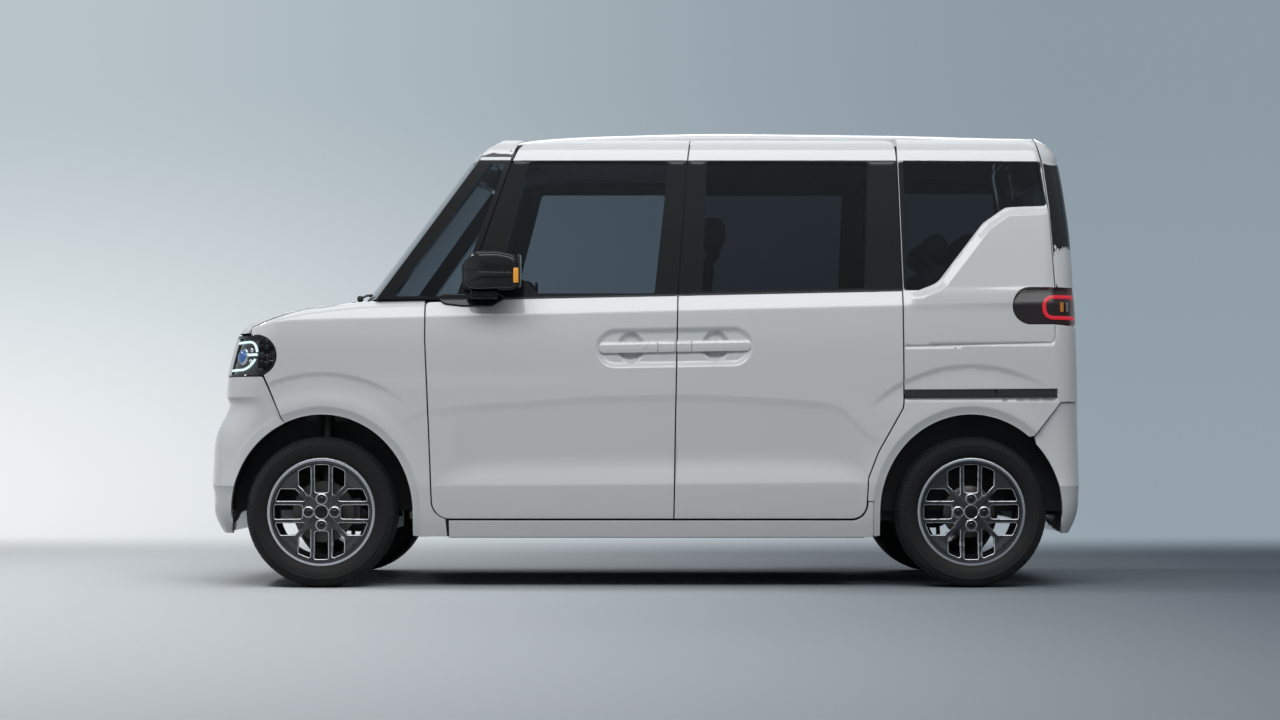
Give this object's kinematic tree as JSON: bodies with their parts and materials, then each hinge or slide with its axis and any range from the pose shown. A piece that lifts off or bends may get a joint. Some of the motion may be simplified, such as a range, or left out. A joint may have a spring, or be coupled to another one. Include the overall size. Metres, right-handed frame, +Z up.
{
  "type": "kei car",
  "caption": "Tall boxy small passenger car with front hinged doors, rear sliding doors, hood and tailgate.",
  "frame": {"origin": "on the ground under the middle of the car's overall box", "axes": "+X from the nose to the tail, +Z up, the left side at -Y"},
  "size_m": [3.395, 1.78, 1.7852],
  "materials": {
    "body_steel": "satin",
    "pearl_white_paint": "gloss",
    "black_paint": "satin",
    "gloss_black": "gloss",
    "black_plastic": "matte",
    "clear_glass": "gloss",
    "privacy_glass": "gloss",
    "lamp_lens": "gloss",
    "tail_lamp_lens": "gloss",
    "black_steel": "satin",
    "dark_trim": "matte",
    "seat_fabric": "matte",
    "stainless_steel": "satin",
    "cast_aluminium": "satin",
    "rubber": "matte",
    "wheel_alloy": "satin"
  },
  "bodies": {
    "body": {"underbody": "body_steel", "roof_panel": "pearl_white_paint", "windscreen": "clear_glass", "cowl": "black_plastic", "front_bumper": "pearl_white_paint", "grille": "black_plastic", "rear_bumper": "pearl_white_paint", "front_subframe": "black_steel", "rear_axle": "black_steel", "dashboard": "dark_trim", "seats": "seat_fabric", "seat_bases": "dark_trim", "exhaust": "stainless_steel", "engine_block": "cast_aluminium", "side_frame_left": "black_paint", "side_frame_right": "black_paint", "quarter_panel_left": "pearl_white_paint", "quarter_panel_right": "pearl_white_paint", "fender_left": "pearl_white_paint", "fender_right": "pearl_white_paint", "sliding_door_left": "pearl_white_paint", "sliding_door_right": "pearl_white_paint", "headlamps": "lamp_lens", "tail_lamps": "tail_lamp_lens", "front_quarter_glass": "clear_glass", "rear_side_glass": "privacy_glass", "front_wheelhouse_left": "body_steel", "front_wheelhouse_right": "body_steel", "rear_wheelhouse_left": "body_steel", "rear_wheelhouse_right": "body_steel"},
    "hood": {"hood": "pearl_white_paint"},
    "tailgate": {"tailgate": "pearl_white_paint", "tailgate_glass": "privacy_glass"},
    "front_door_left": {"front_door_left": "pearl_white_paint", "front_door_glass_left": "clear_glass", "mirror_left": "gloss_black"},
    "front_door_right": {"front_door_right": "pearl_white_paint", "front_door_glass_right": "clear_glass", "mirror_right": "gloss_black"},
    "knuckle_left": {"knuckle_left": "cast_aluminium"},
    "knuckle_right": {"knuckle_right": "cast_aluminium"},
    "front_wheel_left": {"front_tyre_left": "rubber", "front_rim_left": "wheel_alloy"},
    "front_wheel_right": {"front_tyre_right": "rubber", "front_rim_right": "wheel_alloy"},
    "rear_wheel_left": {"rear_tyre_left": "rubber", "rear_rim_left": "wheel_alloy"},
    "rear_wheel_right": {"rear_tyre_right": "rubber", "rear_rim_right": "wheel_alloy"},
    "steering_wheel": {"steering_wheel": "dark_trim"}
  },
  "joints": [
    {"name": "hood_hinge", "type": "hinge", "parent": "body", "child": "hood", "pos_m": [-1.088, 0, 1.116], "axis": [0, 1, 0], "range_deg": [0, 55]},
    {"name": "tailgate_hinge", "type": "hinge", "parent": "body", "child": "tailgate", "pos_m": [1.5265, 0, 1.7655], "axis": [0, -1, 0], "range_deg": [0, 82]},
    {"name": "front_door_left_hinge", "type": "hinge", "parent": "body", "child": "front_door_left", "pos_m": [-0.8425, -0.7285, 0.7], "axis": [0, 0, -1], "range_deg": [0, 68]},
    {"name": "front_door_right_hinge", "type": "hinge", "parent": "body", "child": "front_door_right", "pos_m": [-0.8425, 0.7285, 0.7], "axis": [0, 0, 1], "range_deg": [0, 68]},
    {"name": "steer_left", "type": "hinge", "parent": "body", "child": "knuckle_left", "pos_m": [-1.238, -0.565, 0.2895], "axis": [0, 0.1736, 0.9848], "range_deg": [-35, 35]},
    {"name": "steer_right", "type": "hinge", "parent": "body", "child": "knuckle_right", "pos_m": [-1.238, 0.565, 0.2895], "axis": [0, -0.1736, 0.9848], "range_deg": [-35, 35]},
    {"name": "steering_column", "type": "hinge", "parent": "body", "child": "steering_wheel", "pos_m": [-0.56, 0.35, 0.96], "axis": [0.8829, 0, 0.4695], "range_deg": [-525, 525]},
    {"name": "front_wheel_left_spin", "type": "hinge", "parent": "knuckle_left", "child": "front_wheel_left", "pos_m": [-1.238, -0.65, 0.2895], "axis": [0, 1, 0], "continuous": true},
    {"name": "front_wheel_right_spin", "type": "hinge", "parent": "knuckle_right", "child": "front_wheel_right", "pos_m": [-1.238, 0.65, 0.2895], "axis": [0, 1, 0], "continuous": true},
    {"name": "rear_wheel_left_spin", "type": "hinge", "parent": "body", "child": "rear_wheel_left", "pos_m": [1.257, -0.645, 0.2895], "axis": [0, 1, 0], "continuous": true},
    {"name": "rear_wheel_right_spin", "type": "hinge", "parent": "body", "child": "rear_wheel_right", "pos_m": [1.257, 0.645, 0.2895], "axis": [0, 1, 0], "continuous": true}
  ],
  "couplings": [
    {"joint": "steer_right", "follows": "steer_left", "ratio": 1},
    {"joint": "steering_column", "follows": "steer_left", "ratio": 15}
  ]
}
